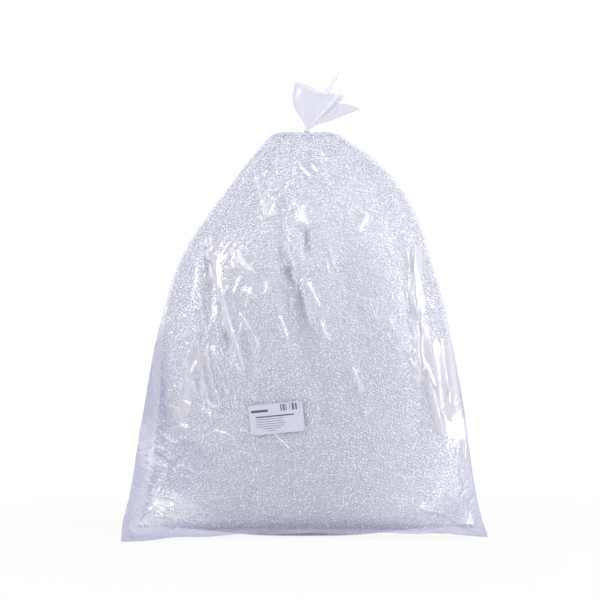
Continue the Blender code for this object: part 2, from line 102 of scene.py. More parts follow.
# Folds and tight lines of the film alone, which stands off the beads there
FRONT_CREASES = (
    Crease(2.0, 3.0, 3.0, ((-40, 566), (-38, 550), (-40, 540), (-39, 528), (-33, 517))),
    Crease(1.8, 3.0, 3.0, ((-49, 560), (-46, 548), (-45, 534))),
    Crease(3.0, 3.5, 5.5, ((-69, 523), (-69, 512), (-65, 498), (-60, 481), (-57, 466), (-53, 453))),
    Crease(2.4, 3.0, 3.0, ((-68, 515), (-58, 501), (-50, 493), (-44, 487), (-37, 481), (-33, 472))),
    Crease(3.2, 7.5, 6.0, ((-41, 491), (-44, 478), (-49, 466), (-53, 454))),
    Crease(2.8, 7.0, 9.0, ((-24, 486), (-12, 477), (-5, 466), (-2, 455), (4, 446), (8, 438))),
    Crease(2.0, 3.0, 3.0, ((4, 480), (-7, 471))),
    Crease(2.4, 2.6, 2.6, ((-13, 554), (-6, 537), (3, 526), (9, 520), (19, 516), (35, 506), (45, 497))),
    Crease(2.2, 2.6, 2.6, ((4, 546), (16, 530), (27, 520), (34, 513), (41, 504))),
    Crease(2.8, 3.0, 4.0, ((-117, 368), (-113, 339), (-102, 301), (-90, 263), (-82, 230))),
    Crease(2.4, 3.0, 4.0, ((-92, 327), (-83, 313), (-73, 295), (-66, 283), (-62, 262))),
    Crease(2.6, 3.5, 3.0, ((-156, 360), (-147, 343), (-145, 324), (-139, 300), (-133, 278))),
    Crease(2.2, 3.0, 3.0, ((-137, 281), (-137, 263), (-130, 224), (-120, 198), (-118, 188))),
    Crease(2.0, 2.8, 2.8, ((-133, 280), (-126, 257), (-114, 228), (-106, 209))),
    Crease(1.8, 2.6, 2.6, ((-131, 279), (-121, 259), (-111, 242), (-104, 227))),
    Crease(3.0, 4.0, 4.0, ((-153, 304), (-156, 282), (-166, 257), (-161, 227), (-149, 197))),
    Crease(2.8, 3.0, 3.5, ((-151, 296), (-150, 269), (-144, 224), (-137, 198), (-129, 190), (-118, 190))),
    Crease(2.5, 6.0, 6.0, ((-140, 199), (-128, 190), (-118, 184))),
    Crease(3.2, 6.0, 9.0, ((-104, 400), (-89, 392), (-82, 387), (-63, 379))),
    Crease(2.6, 6.0, 7.0, ((-96, 418), (-90, 400), (-86, 386))),
    Crease(2.2, 6.0, 7.0, ((-88, 359), (-77, 352), (-63, 341))),
    Crease(2.2, 2.6, 3.0, ((2, 371), (10, 356), (17, 342), (22, 328))),
    Crease(2.4, 3.0, 3.0, ((21, 318), (26, 303), (31, 291), (38, 284))),
    Crease(2.4, 3.0, 3.0, ((-35, 326), (-31, 310), (-27, 299), (-23, 281))),
    Crease(1.6, 2.6, 2.6, ((-38, 312), (-33, 297), (-27, 286))),
    Crease(2.4, 3.0, 4.0, ((66, 252), (71, 237), (75, 226), (82, 203))),
    Crease(1.8, 3.0, 3.0, ((78, 181), (89, 183), (98, 187))),
    Crease(2.0, 3.0, 3.0, ((-97, 253), (-90, 243), (-82, 233))),
    Crease(2.0, 3.0, 3.0, ((-82, 217), (-73, 205), (-67, 198))),
    Crease(2.0, 3.0, 3.0, ((-132, 157), (-118, 154), (-109, 152), (-99, 144), (-89, 135))),
    Crease(1.6, 3.0, 3.0, ((-94, 161), (-80, 155), (-74, 153))),
    Crease(1.6, 3.0, 3.0, ((-181, 162), (-173, 160), (-162, 159))),
    Crease(1.8, 3.0, 4.0, ((-218, 127), (-202, 119), (-187, 108))),
    Crease(1.8, 3.0, 3.0, ((-183, 103), (-162, 98), (-148, 90))),
    Crease(1.6, 3.0, 3.0, ((-177, 91), (-168, 88), (-160, 84))),
    Crease(1.8, 3.0, 3.0, ((-95, 128), (-82, 124), (-72, 118))),
    Crease(2.4, 2.6, 3.0, ((-44, 157), (-39, 150), (-28, 139), (-16, 127))),
    Crease(2.8, 5.0, 6.0, ((-256, 15), (-244, 29), (-230, 40), (-215, 50))),
    Crease(2.2, 2.6, 6.0, ((156, 48), (184, 39), (202, 35), (218, 24), (235, 16), (256, 12))),
    Crease(1.6, 5.0, 6.0, ((74, 471), (85, 465), (92, 471))),
    Crease(1.6, 5.0, 6.0, ((88, 470), (85, 455), (68, 430))),
    Crease(4.4, 2.5, 14.0, ((160, 436), (156, 400), (154, 375), (151, 350), (154, 325), (154, 305))),
    Crease(2.2, 2.5, 16.0, ((152, 345), (154, 325), (152, 305), (156, 285), (156, 245), (161, 200))),
    Crease(1.2, 2.0, 4.0, ((164, 330), (168, 300), (166, 275), (170, 250), (170, 230))),
    Crease(2.4, 8.0, 2.5, ((178, 304), (181, 270), (186, 243), (192, 205), (200, 165), (206, 140))),
    Crease(2.2, 6.0, 2.5, ((170, 262), (176, 235), (184, 205), (194, 168), (199, 145))),
    Crease(2.2, 7.0, 2.5, ((189, 300), (195, 268), (201, 235), (207, 200), (212, 160))),
    Crease(2.4, 3.5, 3.5, ((197, 298), (200, 270), (204, 241), (205, 209), (202, 182))),
    Crease(1.8, 3.0, 3.0, ((230, 143), (231, 128), (230, 110))),
)

# Painted highlights: the film is made milkier where it would show the softboxes' reflections, as streaks
# down the right side and patches at the left and low on the front, and over the right wing as painted light
# from the right softbox. It lies partly loose there too, and its extra milk also makes it glance more. Here
# a crease's rise is how much more light the film scatters, in thousandths
FRONT_HIGHLIGHT_VEILS = (
    Crease(230, 36, 36, ((-70, 560), (-110, 470), (-135, 390), (-148, 330))),
    Crease(860, 20, 14, ((-148, 275), (-158, 245), (-166, 215), (-172, 185), (-182, 155))),
    Crease(260, 40, 34, ((-128, 440), (-122, 380), (-118, 330), (-128, 270), (-140, 210))),
    Crease(420, 4, 10, ((-28, 414), (-13, 380), (1, 348), (11, 318), (22, 288))),
    Crease(420, 5, 14, ((-134, 450), (-131, 410), (-124, 360), (-112, 310), (-104, 270))),
    Crease(300, 10, 16, ((-112, 440), (-100, 400), (-88, 370), (-70, 340))),
    Crease(620, 7, 8, ((-218, 54), (-206, 46), (-196, 36))),
    Crease(760, 15, 11, ((-196, 48), (-180, 50), (-164, 48), (-146, 46))),
    Crease(620, 12, 7, ((-150, 66), (-134, 62), (-118, 56), (-104, 50))),
    Crease(420, 10, 5, ((-104, 72), (-92, 66), (-80, 60))),
    Crease(420, 5, 6, ((-256, 14), (-244, 28), (-230, 42), (-216, 52), (-206, 58))),
    Crease(1500, 7, 8, ((161, 425), (158, 395), (159, 360), (161, 318))),
    Crease(1500, 9, 16, ((161, 312), (163, 270), (162, 212))),
    Crease(1500, 10, 14, ((176, 300), (184, 255), (192, 211), (199, 165), (205, 125))),
    Crease(760, 11, 12, ((206, 300), (213, 265), (221, 205), (229, 135), (237, 85))),
    Crease(180, 9, 14, ((157, 46), (180, 42), (205, 34), (225, 26), (245, 16), (262, 10))),
)

# Partly painted shade: here the film hangs clear of the beads, as it does beside them, and its darker
# lavender tint for that also stands in for the shade at the lower left, the foot and the lower right corner.
# Here the rise is how slack it is, in thousandths
FRONT_SLACK_SHADE = (
    Crease(650, 46, 42, ((-206, 58), (-192, 92), (-172, 130), (-158, 150))),
    Crease(450, 30, 40, ((-160, 34), (-110, 30), (-60, 28))),
    Crease(600, 34, 34, ((186, 62), (214, 44), (240, 24))),
)

# The back has the front's folds and creases again, this far out of line with them
BACK_SHIFT = np.array((12 * MM, 9 * MM))
# A side's folds and creases fade in where the film turns towards it, from this much over this much more
FACING_FROM, FACING_OVER = 0.05, 0.2
# Folds start above the hem, from this height over as much again
HEM_HEIGHT = 20 * MM
# Faces this near to any crease or crinkle are cut in four, and those nearer to a front crease once more
FINE_REACH, FINEST_REACH = 2.2 * MM, 1.6 * MM

# Small crinkles, in millimetres: how far each reaches from its middle, how far it rises and its widths. It
# bows by up to a share of its reach
CRINKLE_HALF = (5, 20)
CRINKLE_BOW = 0.18
CRINKLE_RISE = (0.8, 1.8)
CRINKLE_LEFT = (2.0, 3.0)
CRINKLE_RIGHT = (2.0, 3.6)
# They keep this far from the foot and the neck, and this share of them is left out at the full middle of
# the bag, which the beads press smooth
CRINKLE_MARGIN = 15 * MM
TAUT_X, TAUT_Z = 0.03, 0.2
TAUT_WIDTH, TAUT_HEIGHT = 0.1, 0.16
TAUT_SHARE = 0.95
# They fan out from the neck, and from FAN_END down they turn to a slant over SLANT_OVER
FAN_END, SLANT_OVER = 0.26, 0.16
SLANT_LEFT, SLANT_RIGHT = math.radians(-25), math.radians(-135)

# Where the film counts as empty: from this far off the beads, and less so where it is gathered at the neck
EMPTY_FROM, EMPTY_OVER = 1.5 * MM, 12 * MM
GATHERS_LENGTH, GATHERS_OVER, GATHERS_FILLED = 40 * MM, 20 * MM, 0.6
NECK_MARGIN = 8 * MM
RUFF_EMPTY = 0.6
# Film this far off the beads lies beside them. Before it the film is milkier over a band EDGE_WIDTH wide,
# and counts as nearly as empty there
BESIDE_GAP = 5 * MM
EDGE_WIDTH = 17 * MM
EDGE_EMPTY = 0.85
# Crinkles are lower on empty film by this share
EMPTY_SMOOTH = 0.8
# A crinkle this high is as milky as loose film gets, partly a painted highlight along its crest, and one of
# LIFTED_HEIGHT holds the film off the beads
LOOSE_HEIGHT, LOOSE_POWER = 2.4 * MM, 1.3
LIFTED_HEIGHT, LIFTED_VEIL, LIFTED_SHARE = 1.0 * MM, 0.4, 0.85
# A painted highlight veil from this strong, over this much more, hides this share of how empty the film is,
# lightening the film there as painted light
VEIL_FROM, VEIL_OVER, VEIL_HIDES = 0.2, 0.3, 0.85
# The body's film is never milkier than this
MOST_HAZE = 0.88

# How many beads are tried on a square metre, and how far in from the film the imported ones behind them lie
BEADS_TRIED = 450000.0
PACKED_DEPTH = 3.6 * MM
# How often Subdivision Surface halves the edges of the film, and of the surfaces that carry either beads
FILM_LEVELS, BEAD_LEVELS, PACKED_LEVELS = 3, 2, 1
# Farther from the origin than any bead
FAR = 2.0

# The label's turn and its print: bars placed from its middle, in millimetres, and how dark each is. In the
# striped one, stripes are STRIPE_WIDTH wide and a share of STRIPE_GAPS of them is left blank
LABEL_CENTRE = (LABEL_LOW + LABEL_HIGH) / 2
LABEL_TURN = math.radians(6.0)
STRIPE_WIDTH = 0.8 * MM
STRIPE_GAPS = 0.45
Bar = namedtuple("Bar", "x z width height darkness striped")
LABEL_BARS = (
    Bar(20.5, 14.8, 27.0, 9.5, 0.85, True),
    Bar(-23.0, 12.0, 24.0, 3.6, 0.90, False),
    Bar(-2.0, 3.6, 54.0, 1.9, 0.90, False),
    Bar(-10.0, 0.0, 40.0, 0.9, 0.70, False),
    Bar(-10.0, -3.4, 38.0, 0.9, 0.70, False),
    Bar(-9.0, -6.8, 42.0, 0.9, 0.70, False),
    Bar(-10.0, -10.2, 39.0, 0.9, 0.70, False),
    Bar(-8.0, -13.6, 26.0, 0.9, 0.70, False),
    Bar(-8.0, -17.0, 13.0, 0.9, 0.60, False),
)

# The camera stands level with the middle of the photograph
CAMERA_DISTANCE = 3.0
VIEW_WIDTH = 0.875
VIEW_CENTRE_X = -0.006
VIEW_CENTRE_Z = 0.3425
SENSOR_WIDTH = 36.0

# The floor's half width, and the softboxes: where each stands, its width and height, and its setting
FLOOR_REACH = 6.0
Softbox = namedtuple("Softbox", "name place width height setting")
SOFTBOXES = (
    Softbox("softbox_left", (-1.9, -0.9, 0.95), 0.9, 1.1, "left"),
    Softbox("softbox_right", (1.6, -0.55, 0.55), 0.55, 1.2, "right"),
    Softbox("softbox_top", (0.0, -0.9, 2.1), 2.4, 1.2, "top"),
    Softbox("softbox_key", (1.9, -1.2, 2.0), 1.8, 1.8, "key"),
    Softbox("softbox_back", (0.0, 2.4, 1.8), 4.0, 3.0, "back"),
    Softbox("softbox_glint_left", (-1.0, -1.5, 1.7), 0.4, 0.4, "glint"),
    Softbox("softbox_glint_right", (1.0, -1.5, 1.6), 0.35, 0.35, "glint"),
)


def linear(colour):
    """An sRGB hex colour as linear red, green, blue and one."""
    parts = [int(colour[i:i + 2], 16) / 255 for i in (1, 3, 5)]
    return tuple(p / 12.92 if p <= 0.04045 else ((p + 0.055) / 1.055) ** 2.4 for p in parts) + (1.0,)


def colour_property(name, description, default):
    """A colour that the user sets, with its default as an sRGB hex value."""
    return FloatVectorProperty(name=name, description=description, default=linear(default), min=0.0,
                               max=1.0, size=4, subtype="COLOR")


def share_property(name, description, default, most=1.0):
    """A share of one that the user sets."""
    return FloatProperty(name=name, description=description, default=default, min=0.0, max=most,
                         subtype="FACTOR")


class FilmSettings(bpy.types.PropertyGroup):
    """The clear film"""

    haze_on_beads: share_property("Haze on beads", "Share of light scattered where film lies on beads", 0.21)
    # The highest creases' haze is partly a painted highlight along them
    haze_loose_and_highlight: share_property("Haze of creases", "Share of light scattered by the highest creases", 0.68)
    haze_empty: share_property("Haze of empty film", "Share of light scattered beside the beads", 0.64)
    haze_edge: share_property("Haze at the beads' edge", "Share of light added where the beads end", 0.50)
    haze_ruff: share_property("Haze of the ruff", "Share of light scattered above the band", 0.22)
    milk: colour_property("Milk", "Colour of the film's haze over the beads", "#EDECF4")
    milk_empty: colour_property("Milk of empty film", "Colour of the film's haze beside them", "#B2B3C9")
    folds: FloatProperty(name="Folds", description="Scales the height of every fold", default=1.1)
    creases: FloatProperty(name="Creases", description="Scales the height of every crease", default=1.35)
    # Scales the painted highlight veils, which make the film milky where its reflections would lie
    highlight_veils: FloatProperty(name="Veils", description="Scales how milky the loose film is", default=0.55)
    narrowness: FloatProperty(name="Crease width", description="Scales the width of every crease",
                              default=0.65)
    crinkle_count: IntProperty(name="Crinkles", description="How many small crinkles each face has",
                               default=200)
    seed: IntProperty(name="Seed", description="Changes where the small crinkles lie", default=11)


class BeadSettings(bpy.types.PropertyGroup):
    """The foam beads"""

    diameter: FloatProperty(name="Diameter", description="Mean diameter of a bead", default=3.9 * MM,
                            unit="LENGTH")
    spacing: FloatProperty(name="Spacing", description="Least distance between two beads' centres",
                           default=3.5 * MM, unit="LENGTH")
    variation: share_property("Variation", "How much the beads' sizes differ", 0.30, most=0.9)
    dark: colour_property("Darkest", "Colour of the darkest beads", "#D8D9E1")
    light: colour_property("Lightest", "Colour of the lightest beads", "#FAFBFD")
    seed: IntProperty(name="Seed", description="Changes how the beads lie", default=7)


class TrimSettings(bpy.types.PropertyGroup):
    """The rubber band and the label"""

    rubber: colour_property("Rubber", "Colour of the rubber band", "#DCCFC4")
    bloom: colour_property("Bloom", "Colour of the band where its dusty bloom is thickest", "#EBE3DC")
    paper: colour_property("Paper", "Colour of the label's paper", "#CFCFDE")
    fibres: colour_property("Fibres", "Colour of the paper's palest fibres", "#D8D8E6")
    ink: colour_property("Ink", "Colour of the label's print", "#3C3C48")


class LightSettings(bpy.types.PropertyGroup):
    """The studio's lights"""

    fill: FloatProperty(name="Fill", description="Strength of the even light from all round", default=0.30)
    left: FloatProperty(name="Left softbox", description="Radiance of the left softbox", default=7.2)
    right: FloatProperty(name="Right softbox", description="Radiance of the right softbox", default=6.0)
    top: FloatProperty(name="Top softbox", description="Radiance of the top softbox", default=1.0)
    key: FloatProperty(name="Key softbox", description="Radiance of the large softbox at the upper right",
                       default=2.0)
    back: FloatProperty(name="Back softbox", description="Radiance of the softbox behind the bag",
                        default=1.1)
    glint: FloatProperty(name="Small softboxes", description="Radiance of the two that glint on creases",
                         default=9.0)


def add_node(tree, kind, links=(), **settings):
    """Adds a node. A setting that starts with in_ names an input, and links are (input, socket) pairs."""
    node = tree.nodes.new(kind)
    for name, value in settings.items():
        if name.startswith("in_"):
            key = name[3:]
            node.inputs[int(key) if key.isdigit() else key.replace("_", " ")].default_value = value
        else:
            setattr(node, name, value)
    for key, socket in links:
        tree.links.new(socket, node.inputs[key])
    return node


def new_material(name):
    material = bpy.data.materials.new(name)
    material.use_nodes = True
    material.node_tree.nodes.clear()
    return material, material.node_tree


def finish_material(tree, shader):
    add_node(tree, "ShaderNodeOutputMaterial", links=[("Surface", shader)])


def link_object(name, mesh):
    item = bpy.data.objects.new(name, mesh)
    bpy.context.scene.collection.objects.link(item)
    return item


def merged_copy(node):
    """A copy of a CAD node's mesh, with its loose triangles joined."""
    shape = bmesh.new()
    shape.from_mesh(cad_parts[node].data)
    bmesh.ops.remove_doubles(shape, verts=shape.verts, dist=WELD)
    return shape


def outer_film():
    """The film's outer face as quads. The thin rim of its open mouth turns away from it, and is left."""
    shape = merged_copy("film_bag")
    thin = {
        face for face in shape.faces
        if (face.calc_center_median() - NECK).length > RIM_FROM_NECK
        and face.calc_center_median().z > NECK.z
        and min(edge.calc_length() for edge in face.edges) < RIM_THICKNESS
    }
    start = min(shape.faces, key=lambda face: face.calc_center_median().x)
    found, open_faces = {start}, [start]
    while open_faces:
        for edge in open_faces.pop().edges:
            at_rim = edge.calc_face_angle() > RIM_TURN and not thin.isdisjoint(edge.link_faces)
            for face in edge.link_faces:
                if face not in found and not at_rim:
                    found.add(face)
                    open_faces.append(face)
    bmesh.ops.delete(shape, geom=[face for face in shape.faces if face not in found], context="FACES")
    bmesh.ops.join_triangles(shape, faces=shape.faces, **QUAD_ANGLES)
    return shape


def smooth_line(points, steps=6):
    """A Catmull-Rom curve through points in millimetres, as places in metres."""
    points = np.array(points, float) * MM
    padded = np.vstack([2 * points[0] - points[1], points, 2 * points[-1] - points[-2]])
    t = np.linspace(0, 1, steps, endpoint=False)[:, None]
    runs = [
        0.5 * (2 * b + (c - a) * t + (2 * a - 5 * b + 4 * c - d) * t**2 + (3 * b - a - 3 * c + d) * t**3)
        for a, b, c, d in zip(padded, padded[1:], padded[2:], padded[3:])
    ]
    return np.vstack(runs + [points[-1:]])


def ease(share):
    share = np.clip(share, 0, 1)
    return share * share * (3 - 2 * share)


def nearest_on(line, places):
    """For each place, the distance to a line, how far along it is, and whether it is on its right."""
    start, step = line[:-1], np.diff(line, axis=0)
    offset = places[:, None] - start
    share = np.clip((offset * step).sum(axis=2) / (step**2).sum(axis=1), 0, 1)
    distance = np.linalg.norm(offset - share[..., None] * step, axis=2)
    best = distance.argmin(axis=1)
    rows = np.arange(len(places))
    side = step[best, 0] * offset[rows, best, 1] - step[best, 1] * offset[rows, best, 0]
    return distance[rows, best], (best + share[rows, best]) / len(step), side > 0


def boxed_near(places, line, reach):
    """The indices of the (x, z) places in the box round a line, grown by a reach."""
    low, high = line.min(axis=0) - reach, line.max(axis=0) + reach
    return np.flatnonzero(((places > low) & (places < high)).all(axis=1))


def crease_heights(places, creases, width_scale=1.0):
    """How far each (x, z) place stands out, by the creases near it."""
    heights = np.zeros(len(places))
    for crease in creases:
        line = smooth_line(crease.points)
        left, right = crease.left * MM * width_scale, crease.right * MM * width_scale
        near = boxed_near(places, line, CREASE_REACH * max(left, right))
        if not len(near):
            continue
        distance, along, on_right = nearest_on(line, places[near])
        width = np.where(on_right, right, left)
        ends = ease(along / CREASE_END) * ease((1 - along) / CREASE_END)
        heights[near] += crease.rise * MM * ends * np.exp(-((distance / width) ** CREASE_POWER))
    return heights


def close_to(places, creases, reach):
    """Which (x, z) places lie within reach of a crease."""
    close = np.zeros(len(places), bool)
    for crease in creases:
        line = smooth_line(crease.points)
        near = boxed_near(places, line, reach)
        near = near[~close[near]]
        if len(near):
            close[near] = nearest_on(line, places[near])[0] < reach
    return close


def streaks(tree, place, angle):
    """Fine sharp crinkles that run at an angle to the floor on the front and back, about 4 mm apart."""
    turned = add_node(tree, "ShaderNodeMapping", links=[("Vector", place)],
                      in_Rotation=(0, math.radians(angle), 0))
    drawn_out = add_node(tree, "ShaderNodeVectorMath", operation="MULTIPLY",
                         links=[(0, turned.outputs["Vector"])],
                         in_1=(1 / (18 * MM), 1 / (18 * MM), 1 / (3.6 * MM)))
    ridges = add_node(tree, "ShaderNodeTexNoise", links=[("Vector", drawn_out.outputs["Vector"])],
                      noise_type="RIDGED_MULTIFRACTAL", in_Scale=1.0, in_Detail=1.0, in_Roughness=0.4,
                      in_Gain=1.2, in_Distortion=0.5)
    return ridges.outputs["Fac"]


def film_material(settings):
    """Low-density polyethylene, blown thin: clear and glossy, with a faint lavender haze that adds up
    where the film lies double, and a skin that dips a little between the beads it lies on. Its haze also
    carries painted highlights, milky where the softboxes' reflections would lie, and its darker tint for
    empty film also carries painted shade low on the front."""
    material, tree = new_material("blown_polyethylene_film")
    place = add_node(tree, "ShaderNodeTexCoord").outputs["Object"]
    haze_share, on_beads, empty = (
        add_node(tree, "ShaderNodeAttribute", attribute_name=name).outputs["Fac"]
        for name in ("haze", "on_beads", "empty")
    )

    # The film dips between beads that lie about 4 mm apart
    cells = add_node(tree, "ShaderNodeTexVoronoi", links=[("Vector", place)], feature="SMOOTH_F1",
                     in_Scale=1 / (4.2 * MM), in_Smoothness=0.6)
    draped = add_node(tree, "ShaderNodeMath", operation="MULTIPLY",
                      links=[(0, cells.outputs["Distance"]), (1, on_beads)])
    drape = add_node(tree, "ShaderNodeBump", links=[("Height", draped.outputs[0])], invert=True,
                     in_Strength=0.5, in_Distance=1.2 * MM)

    # Crinkles run one way on the left of the bag, another on its right, and up the ruff above the neck
    sides = add_node(tree, "ShaderNodeSeparateXYZ", links=[("Vector", place)])
    right = add_node(tree, "ShaderNodeMapRange", links=[("Value", sides.outputs["X"])],
                     interpolation_type="SMOOTHSTEP", in_From_Min=-30 * MM, in_From_Max=30 * MM)
    streak = add_node(tree, "ShaderNodeMix", data_type="FLOAT",
                      links=[(0, right.outputs["Result"]), (2, streaks(tree, place, -25)),
                             (3, streaks(tree, place, 45))])
    above = add_node(tree, "ShaderNodeMapRange", links=[("Value", sides.outputs["Z"])],
                     in_From_Min=NECK.z, in_From_Max=NECK.z + 4 * MM)
    streak = add_node(tree, "ShaderNodeMix", data_type="FLOAT",
                      links=[(0, above.outputs["Result"]), (2, streak.outputs[0]),
                             (3, streaks(tree, place, 63))])
    # The milkier the film, the looser it is and the more crumpled
    crumpled = add_node(tree, "ShaderNodeMapRange", links=[("Value", haze_share)], in_From_Min=0.2,
                        in_From_Max=0.85, in_To_Min=0.45, in_To_Max=1.0)
    crinkle = add_node(tree, "ShaderNodeBump", links=[("Strength", crumpled.outputs["Result"]),
                                                      ("Height", streak.outputs[0]),
                                                      ("Normal", drape.outputs["Normal"])],
                       in_Distance=1.0 * MM)
    normal = crinkle.outputs["Normal"]

    # How steeply the film turns away: a long way through it tints it more
    facing = add_node(tree, "ShaderNodeLayerWeight", links=[("Normal", normal)], in_Blend=0.5)
    edge = add_node(tree, "ShaderNodeLayerWeight", in_Blend=0.5)
    grazing = add_node(tree, "ShaderNodeMath", operation="POWER", links=[(0, edge.outputs["Facing"])],
                       in_1=3.0)
    tinted = add_node(tree, "ShaderNodeMath", operation="MAXIMUM",
                      links=[(0, grazing.outputs[0]), (1, empty)])
    through = add_node(tree, "ShaderNodeMix", data_type="RGBA", links=[(0, tinted.outputs[0])],
                       in_6=linear("#FCFCFF"), in_7=linear("#EEEEF7"))
    clear = add_node(tree, "ShaderNodeBsdfTransparent", links=[("Color", through.outputs[2])])
    # The milk shows painted highlights where the haze is raised for them, and its darker empty colour shows
    # painted shade where the slack list tints the film
    milk = add_node(tree, "ShaderNodeMix", data_type="RGBA", links=[(0, empty)], in_6=settings.milk,
                    in_7=settings.milk_empty)
    haze = add_node(tree, "ShaderNodeBsdfDiffuse", links=[("Color", milk.outputs[2])])
    shine = add_node(tree, "ShaderNodeMix", data_type="RGBA", links=[(0, grazing.outputs[0])],
                     in_6=linear("#FFFFFF"), in_7=linear("#CBCCE0"))
    gloss = add_node(tree, "ShaderNodeBsdfGlossy", links=[("Normal", normal), ("Color", shine.outputs[2])],
                     in_Roughness=0.13)
    # The share that glances off rises from 5.5 % face on, the same from inside the bag and from outside,
    # because light meets air again behind so thin a film
    steep = add_node(tree, "ShaderNodeMath", operation="POWER", links=[(0, facing.outputs["Facing"])],
                     in_1=5.0)
    fresnel = add_node(tree, "ShaderNodeMath", operation="MULTIPLY_ADD", links=[(0, steep.outputs[0])],
                       in_1=0.6, in_2=0.055)
    # Beside the beads both skins lie slack and send little of it to one side, and so does the film whose
    # tint is painted shade low on the front. The milkier the film is, the more layers of it lie together,
    # and each sends its share; where the haze is raised as a painted highlight, it glances more as well
    slack_and_shade = add_node(tree, "ShaderNodeMath", operation="MULTIPLY_ADD", links=[(0, empty)], in_1=-0.85,
                     in_2=1.0)
    double = add_node(tree, "ShaderNodeMath", operation="MULTIPLY_ADD", links=[(0, haze_share)], in_1=3.9,
                      in_2=-0.33)
    layers = add_node(tree, "ShaderNodeMath", operation="MULTIPLY",
                      links=[(0, slack_and_shade.outputs[0]), (1, double.outputs[0])])
    glance = add_node(tree, "ShaderNodeMath", operation="MULTIPLY", use_clamp=True,
                      links=[(0, fresnel.outputs[0]), (1, layers.outputs[0])])
    # Where it is milky, its crinkles are the milkiest
    lines = add_node(tree, "ShaderNodeMapRange", links=[("Value", streak.outputs[0])], in_From_Min=0.2,
                     in_From_Max=1.1, in_To_Min=0.55, in_To_Max=1.55)
    share = add_node(tree, "ShaderNodeMath", operation="MULTIPLY", use_clamp=True,
                     links=[(0, haze_share), (1, lines.outputs["Result"])])
    hazy = add_node(tree, "ShaderNodeMixShader", links=[(0, share.outputs[0]), (1, clear.outputs[0]),
                                                        (2, haze.outputs[0])])
    film = add_node(tree, "ShaderNodeMixShader", links=[(0, glance.outputs[0]), (1, hazy.outputs[0]),
                                                        (2, gloss.outputs[0])])
    finish_material(tree, film.outputs[0])
    return material


def bead_material(settings):
    """Expanded polystyrene beads: matte white foam blown from grains, each of its own tone, with the
    faint cell pattern of its skin. Real cells are 0.1 mm wide, so they are drawn 0.8 mm wide to show."""
    material, tree = new_material("expanded_polystyrene_bead")
    place = add_node(tree, "ShaderNodeTexCoord").outputs["Object"]
    tone = add_node(tree, "ShaderNodeAttribute", attribute_name="tone").outputs["Fac"]
    colour = add_node(tree, "ShaderNodeMix", data_type="RGBA", links=[(0, tone)], in_6=settings.dark,
                      in_7=settings.light)
    cells = add_node(tree, "ShaderNodeTexVoronoi", links=[("Vector", place)], in_Scale=1 / (0.8 * MM))
    skin = add_node(tree, "ShaderNodeBump", links=[("Height", cells.outputs["Distance"])], in_Strength=0.15,
                    in_Distance=0.1 * MM)
    shader = add_node(tree, "ShaderNodeBsdfPrincipled", in_Roughness=0.6,
                      links=[("Base Color", colour.outputs[2]), ("Normal", skin.outputs["Normal"])])
    finish_material(tree, shader.outputs[0])
    return material


def core_material():
    """Expanded polystyrene beads behind the outer ones, seen in the gaps between them: the same matte white
    foam, in shade that deepens from each bead's middle to the gaps round it, about 4 mm apart."""
    material, tree = new_material("packed_beads_in_shade")
    place = add_node(tree, "ShaderNodeTexCoord").outputs["Object"]
    cells = add_node(tree, "ShaderNodeTexVoronoi", links=[("Vector", place)], in_Scale=1 / (4.2 * MM))
    shade = add_node(tree, "ShaderNodeMix", links=[(0, cells.outputs["Distance"])], data_type="RGBA",
                     in_6=linear("#F1F2F5"), in_7=linear("#D4D6DD"))
    shader = add_node(tree, "ShaderNodeBsdfPrincipled", links=[("Base Color", shade.outputs[2])],
                      in_Roughness=0.7)
    finish_material(tree, shader.outputs[0])
    return material


def latex_material(settings):
    """Natural latex rubber, cut from an extruded tube: pale beige, matte, with a dusty bloom and fine
    lines along the strand."""
    material, tree = new_material("extruded_natural_latex")
    place = add_node(tree, "ShaderNodeTexCoord").outputs["Object"]
    bloom = add_node(tree, "ShaderNodeTexNoise", links=[("Vector", place)], in_Scale=1 / (1.5 * MM))
    colour = add_node(tree, "ShaderNodeMix", data_type="RGBA", links=[(0, bloom.outputs["Fac"])],
                      in_6=settings.rubber, in_7=settings.bloom)
    drawn = add_node(tree, "ShaderNodeVectorMath", operation="MULTIPLY", links=[(0, place)],
                     in_1=(1 / (3 * MM), 1 / (3 * MM), 1 / (0.15 * MM)))
    lines = add_node(tree, "ShaderNodeTexNoise", links=[("Vector", drawn.outputs["Vector"])], in_Scale=1.0)
    grain = add_node(tree, "ShaderNodeBump", links=[("Height", lines.outputs["Fac"])], in_Strength=0.3,
                     in_Distance=0.05 * MM)
    shader = add_node(tree, "ShaderNodeBsdfPrincipled", in_Roughness=0.55,
                      links=[("Base Color", colour.outputs[2]), ("Normal", grain.outputs["Normal"])])
    finish_material(tree, shader.outputs[0])
    return material


def bar_group():
    """A group that gives one inside a rectangle of the label and nothing outside it."""
    tree = bpy.data.node_groups.new("printed_bar", "ShaderNodeTree")
    for name, way in (("Place", "INPUT"), ("Centre", "INPUT"), ("Half Size", "INPUT")):
        tree.interface.new_socket(name, in_out=way, socket_type="NodeSocketVector")
    tree.interface.new_socket("Ink", in_out="OUTPUT", socket_type="NodeSocketFloat")
    given = add_node(tree, "NodeGroupInput").outputs
    away = add_node(tree, "ShaderNodeVectorMath", operation="SUBTRACT",
                    links=[(0, given["Place"]), (1, given["Centre"])])
    far = add_node(tree, "ShaderNodeVectorMath", operation="ABSOLUTE", links=[(0, away.outputs[0])])
    left = add_node(tree, "ShaderNodeVectorMath", operation="SUBTRACT",
                    links=[(0, given["Half Size"]), (1, far.outputs[0])])
    parts = add_node(tree, "ShaderNodeSeparateXYZ", links=[(0, left.outputs[0])])
    least = add_node(tree, "ShaderNodeMath", operation="MINIMUM",
                     links=[(0, parts.outputs["X"]), (1, parts.outputs["Z"])])
    ink = add_node(tree, "ShaderNodeMath", operation="GREATER_THAN", links=[(0, least.outputs[0])], in_1=0.0)
    add_node(tree, "NodeGroupOutput", links=[(0, ink.outputs[0])])
    return tree


